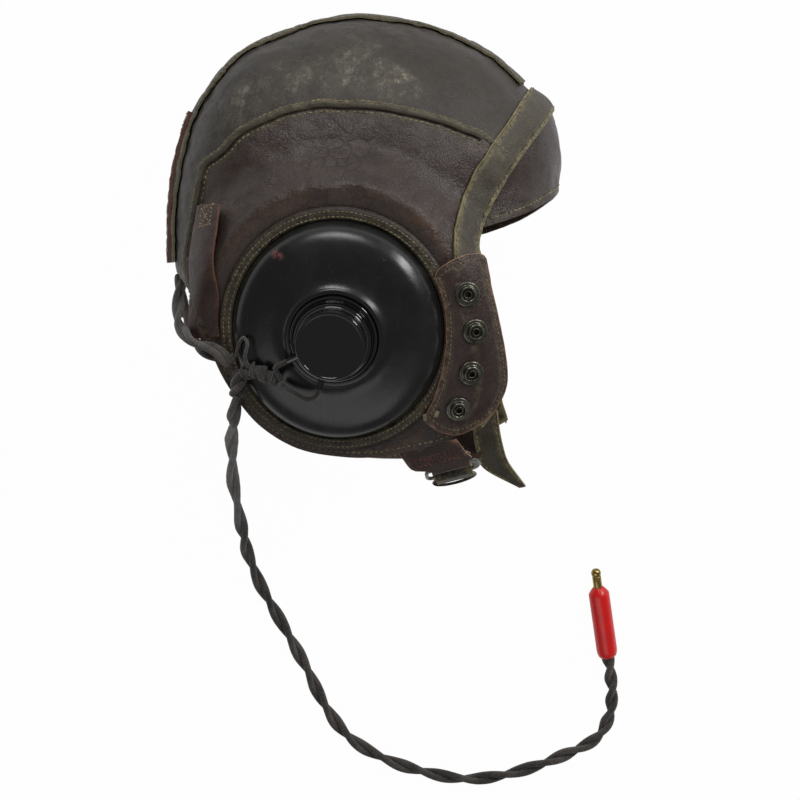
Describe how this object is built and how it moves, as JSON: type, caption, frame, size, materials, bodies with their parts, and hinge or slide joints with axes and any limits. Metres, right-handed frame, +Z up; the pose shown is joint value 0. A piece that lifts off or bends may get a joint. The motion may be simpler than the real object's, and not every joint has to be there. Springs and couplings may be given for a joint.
{
  "type": "flying helmet",
  "caption": "Soft leather flying helmet with rubber ear domes, receivers, snap patches, goggle tabs, chin strap, two-strand lead and plug",
  "frame": {"origin": "on the table, under the middle of the helmet's bounding box without its lead", "axes": "+X towards the wearer's face, +Y towards the crown along the table, +Z up; the helmet lies on its left ear cup, leaning 22 degrees towards the crown"},
  "size_m": [0.2801, 0.5418, 0.2403],
  "materials": {
    "leather_crown": "dark worn leather, matt",
    "leather_brown": "dark brown leather, satin",
    "leather_olive": "olive-brown leather with stitched edges",
    "leather_red": "red-brown leather with raw edges",
    "chamois": "soft pale chamois",
    "rubber": "black moulded rubber, semi-gloss",
    "phenolic": "black moulded resin, high gloss",
    "steel": "bare steel",
    "gunmetal": "dark oxidised metal",
    "brass": "worn brass",
    "plug_red": "bright red moulded sleeve",
    "cord": "dark woven cord"
  },
  "bodies": {
    "helmet": {"brow_piece": "leather_brown", "buckle_frame": "gunmetal", "chin_band_end": "leather_olive", "chin_strap": "leather_olive", "chin_tab": "leather_red", "crown_panel_left": "leather_crown", "crown_panel_right": "leather_crown", "crown_strip": "leather_crown", "ear_dome_left": "rubber", "ear_dome_right": "rubber", "ear_pad_left": "chamois", "ear_pad_right": "chamois", "ear_ring_left": "leather_olive", "ear_ring_right": "leather_olive", "front_band": "leather_olive", "lead_branch_left": "cord", "lead_bundle_right": "cord", "lead_junction": "cord", "lead_tail_right_1": "cord", "lead_tail_right_2": "cord", "lead_tip_left_1": "brass", "lead_tip_left_2": "brass", "lead_tip_right_1": "brass", "lead_tip_right_2": "brass", "lining_left": "chamois", "lining_right": "chamois", "main_lead": "cord", "plug_shaft": "brass", "plug_sleeve": "plug_red", "plug_tip": "brass", "receiver_cap_left": "phenolic", "receiver_cap_right": "phenolic", "receiver_case_left": "phenolic", "receiver_case_right": "phenolic", "receiver_diaphragm_left": "steel", "receiver_diaphragm_right": "steel", "receiver_magnet_left": "steel", "receiver_magnet_right": "steel", "seam_welt_left": "leather_olive", "seam_welt_right": "leather_olive", "side_panel_left": "leather_brown", "side_panel_right": "leather_brown", "snap_left_1": "gunmetal", "snap_left_2": "gunmetal", "snap_left_3": "gunmetal", "snap_left_4": "gunmetal", "snap_patch_left": "leather_red", "snap_patch_right": "leather_red", "snap_right_1": "gunmetal", "snap_right_2": "gunmetal", "snap_right_3": "gunmetal", "snap_right_4": "gunmetal", "tab_base_left": "leather_red", "tab_base_rear": "leather_red", "tab_base_right": "leather_red"},
    "tab_right": {"tab_strap_right": "leather_red"},
    "tab_left": {"tab_strap_left": "leather_red"},
    "tab_rear": {"tab_strap_rear": "leather_red"}
  },
  "joints": [
    {"name": "tab_right_hinge", "type": "hinge", "parent": "helmet", "child": "tab_right", "pos_m": [-0.0934, 0.04539, 0.16407], "axis": [-0.589, -0.4135, -0.6944], "range_deg": [0, 110]},
    {"name": "tab_left_hinge", "type": "hinge", "parent": "helmet", "child": "tab_left", "pos_m": [-0.0934, -0.00779, 0.03247], "axis": [0.589, -0.1849, -0.7867], "range_deg": [0, 110]},
    {"name": "tab_rear_hinge", "type": "hinge", "parent": "helmet", "child": "tab_rear", "pos_m": [-0.11018, 0.07222, 0.0767], "axis": [-0.0001, -0.3748, -0.9271], "range_deg": [0, 110]}
  ]
}
